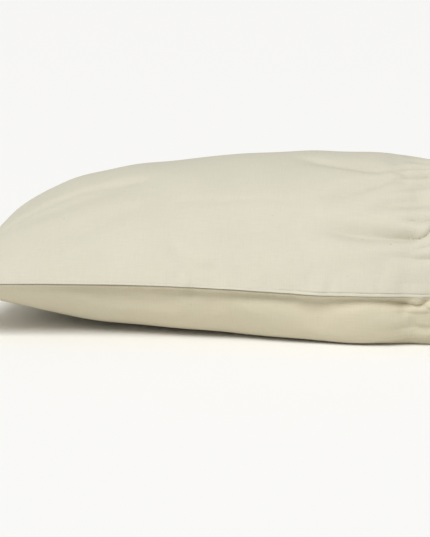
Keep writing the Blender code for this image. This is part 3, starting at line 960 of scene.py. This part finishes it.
def noise(tree, where, scale, detail=2.0):
    """Soft noise over the places given, stretched by a scale for each axis."""
    stretch = add(tree, "ShaderNodeMapping", Scale=scale)
    tree.links.new(where, stretch.inputs["Vector"])
    texture = add(tree, "ShaderNodeTexNoise", Scale=1.0, Detail=detail, Roughness=0.5)
    tree.links.new(stretch.outputs["Vector"], texture.inputs["Vector"])
    return texture.outputs["Fac"]


def tinted(tree, value, tint, low=0.0, high=1.0):
    """A colour from the cool to the warm end of a tint as the value goes from low to high."""
    tone = add(tree, "ShaderNodeValToRGB")
    for element, position, colour in zip(tone.color_ramp.elements, (low, high), tint):
        element.position = position
        element.color = colour
    tree.links.new(value, tone.inputs["Fac"])
    return tone.outputs["Color"]


def bumped(tree, height, shader, strength, distance):
    """A relief on a shader's surface."""
    bump = add(tree, "ShaderNodeBump", Strength=strength, Distance=distance)
    tree.links.new(height, bump.inputs["Height"])
    tree.links.new(bump.outputs["Normal"], shader.inputs["Normal"])


def cotton(name, colours):
    """Unbleached plain-weave cotton: fine yarns, thicker slubs, husk flecks, a soft uneven tint and painted
    shade between the yarns.
    """
    look = {"Roughness": 0.93, "Sheen Weight": 0.03, "Sheen Roughness": 0.5, "Specular IOR Level": 0.15}
    material, tree, shader = new_material(name, look)
    link = tree.links.new
    where = add(tree, "ShaderNodeUVMap", uv_map="pattern").outputs["UV"]

    def ranged(value, low, high, to_low, to_high):
        change = add(tree, "ShaderNodeMapRange")
        limits = {"From Min": low, "From Max": high, "To Min": to_low, "To Max": to_high}
        for socket, number in limits.items():
            change.inputs[socket].default_value = number
        link(value, change.inputs["Value"])
        return change.outputs["Result"]

    def combine(first, second, operation):
        node = add(tree, "ShaderNodeMath", operation=operation)
        link(first, node.inputs[0])
        link(second, node.inputs[1])
        return node.outputs["Value"]

    # Each yarn strays a little from its straight line
    stray = add(tree, "ShaderNodeTexNoise", Scale=70.0, Detail=1.0)
    link(where, stray.inputs["Vector"])
    offset = add(tree, "ShaderNodeVectorMath", operation="MULTIPLY_ADD")
    offset.inputs[1].default_value = (0.0009, 0.0009, 0.0)
    link(stray.outputs["Color"], offset.inputs[0])
    link(where, offset.inputs[2])

    def wave(direction, pitch):
        bands = add(tree, "ShaderNodeTexWave", wave_type="BANDS", bands_direction=direction, Distortion=0.0)
        bands.inputs["Scale"].default_value = np.pi / 10 / pitch
        link(offset.outputs["Vector"], bands.inputs["Vector"])
        return bands.outputs["Fac"]

    # Warp and weft pass over and under each other like the squares of a chessboard
    over_x = ranged(wave("X", 2 * YARN_PITCH), 0.0, 1.0, -1.0, 1.0)
    over_y = ranged(wave("Y", 2 * YARN_PITCH), 0.0, 1.0, -1.0, 1.0)
    over = ranged(combine(over_x, over_y, "MULTIPLY"), -0.5, 0.5, 0.0, 1.0)
    under = ranged(over, 0.0, 1.0, 1.0, 0.0)
    warp = combine(wave("X", YARN_PITCH), over, "MULTIPLY")
    weft = combine(wave("Y", YARN_PITCH), under, "MULTIPLY")
    weave = combine(warp, weft, "ADD")
    slubs = combine(noise(tree, where, (60.0, 1100.0, 1.0)), noise(tree, where, (1100.0, 60.0, 1.0)), "ADD")
    height = combine(ranged(weave, 0.0, 1.0, 0.0, 0.7), ranged(slubs, 0.6, 1.4, 0.0, 0.8), "ADD")
    bumped(tree, height, shader, 0.35, 0.00035)

    # The tint, with painted shade between the yarns, and darker in the husk flecks
    tint = tinted(tree, noise(tree, where, (13.0, 13.0, 1.0)), colours, 0.38, 0.66)
    slub_shade = ranged(slubs, 0.7, 1.3, 0.965, 1.02)
    # Painted shade: the colour is darkened where the weave is low, between the yarns.
    shade = combine(slub_shade, ranged(weave, 0.0, 1.0, 0.94, 1.02), "MULTIPLY")
    flecks = ranged(noise(tree, where, (420.0, 260.0, 1.0), detail=1.0), 0.77, 0.81, 1.0, 0.78)
    shade = combine(shade, flecks, "MULTIPLY")
    mix = add(tree, "ShaderNodeVectorMath", operation="SCALE")
    link(tint, mix.inputs[0])
    link(shade, mix.inputs["Scale"])
    link(mix.outputs["Vector"], shader.inputs["Base Color"])
    return material


def cord_cotton():
    """The cord's paler twisted cotton, with fine fibres along it."""
    material, tree, shader = new_material("cotton_cord", {"Roughness": 0.9, "Sheen Weight": 0.2})
    where = add(tree, "ShaderNodeUVMap", uv_map="lay").outputs["UV"]
    fibres = noise(tree, where, (34.0, 2.2, 1.0), detail=3.0)
    tree.links.new(tinted(tree, fibres, CORD_TINT, 0.3, 0.7), shader.inputs["Base Color"])
    bumped(tree, fibres, shader, 0.4, 0.0003)
    return material


def thread_cotton():
    """The sewing thread: pale twisted cotton."""
    material, tree, shader = new_material("thread", {"Roughness": 0.75})
    where = add(tree, "ShaderNodeTexCoord")
    twist = add(tree, "ShaderNodeTexNoise", Scale=3500.0, Detail=1.0)
    tree.links.new(where.outputs["Object"], twist.inputs["Vector"])
    tree.links.new(tinted(tree, twist.outputs["Fac"], THREAD_TINT), shader.inputs["Base Color"])
    return material


def make_camera():
    """The camera at the photograph's angle, with its vertical field of view."""
    data = bpy.data.cameras.new("camera")
    data.sensor_fit = "VERTICAL"
    data.sensor_height = SENSOR
    data.lens = LENS
    data.clip_start = 0.05
    data.clip_end = 50.0
    camera = bpy.data.objects.new("camera", data)
    bpy.context.collection.objects.link(camera)
    azimuth, elevation = np.radians([AZIMUTH, ELEVATION])
    level = np.cos(elevation)
    back = Vector((np.sin(azimuth) * level, -np.cos(azimuth) * level, np.sin(elevation)))
    camera.location = Vector(AIM) + back * DISTANCE
    camera.rotation_euler = back.to_track_quat("Z", "Y").to_euler()
    bpy.context.scene.camera = camera


def make_studio():
    """A plain pale floor, a bright surround and one large soft light from above and in front."""
    world = bpy.data.worlds.new("surround")
    world.use_nodes = True
    background = world.node_tree.nodes["Background"]
    background.inputs["Color"].default_value = (1.0, 1.0, 1.0, 1.0)
    background.inputs["Strength"].default_value = SURROUND
    bpy.context.scene.world = world
    bpy.context.scene.view_settings.view_transform = "Standard"
    corners = [(-9, -9, 0), (9, -9, 0), (9, 9, 0), (-9, 9, 0)]
    floor = new_object("floor", corners, [(0, 1, 2, 3)], smoothed=False)
    finish, _, _ = new_material("pale_floor", {"Base Color": FLOOR_COLOUR, "Roughness": 0.8})
    floor.data.materials.append(finish)
    data = bpy.data.lights.new("key", "SUN")
    data.energy = KEY_STRENGTH
    data.angle = np.radians(KEY_WIDTH)
    key = bpy.data.objects.new("key", data)
    bpy.context.collection.objects.link(key)
    key.rotation_euler = Vector(KEY_FROM).to_track_quat("Z", "Y").to_euler()


make_camera()
make_studio()
# The lower panel's material carries painted warm shade: its tint is warmer than the upper panel's for the
# shaded underside.
finishes = {True: cotton("cotton_upper", UPPER_TINT), False: cotton("cotton_lower", LOWER_WARM_SHADE_TINT)}
cord_finish = cord_cotton()
thread_finish = thread_cotton()

# The cord's free ends, each with its knot and its frayed tip
for name, side, route in (("upper", 1, UPPER_END), ("lower", -1, LOWER_END)):
    x, y, z = turn_out(side)[0]
    line, length = dense([(x, y - TOUCH, z)] + route, 0.0012)
    strand = twisted_tube("strand_" + name, line, CORD / 2)
    strand.data.materials.append(cord_finish)
    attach(strand, "root")
    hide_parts("cord_end_" + name)
    tied, _ = dense(knot_line(line[-1], line[-6]), 0.0006)
    knot = twisted_tube("tied_" + name, tied, KNOT_CORD / 2)
    ends = tuft("tuft_" + name, tied[-1], tied[-4])
    for piece, finish in ((knot, cord_finish), (ends, thread_finish)):
        piece.data.materials.append(finish)
        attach(piece, "root")
    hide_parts("knot_" + name)

# The cord inside the casing
line, length = dense(loop_route(), 0.0015)
loop = twisted_tube("cord_loop", line, CORD / 2)
loop.data.materials.append(cord_finish)
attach(loop, "root")
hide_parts("drawstring_loop")

# The two panels, upper True and lower False
moved = settle()
panels = {upper: panel_grid(upper, moved[upper]) for upper in (True, False)}
for name, upper in (("upper", True), ("lower", False)):
    cloth = sheet("cloth_" + name, upper, panels[upper])
    cloth.data.materials.append(finishes[upper])
    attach(cloth, "root")
    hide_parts("panel_" + name)

# The stitches: a row round the mouth in each panel, and one along each side seam of the upper one
half = PANEL_WIDTH / 2
line = np.linspace(-half + 0.001, half - 0.001, 400)
casing = stitch_run(line / PANEL_WIDTH + 0.5)
rows = [(panels[upper], upper, casing, line) for upper in (True, False)]
for edge, end in ((-half + SEAM_STITCH, casing[0]), (half - SEAM_STITCH, casing[-1])):
    rows.append((panels[True], True, np.linspace(0.003, end, 200), np.full(200, edge)))
seams = stitches("stitches", rows)
seams.data.materials.append(thread_finish)
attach(seams, "root")
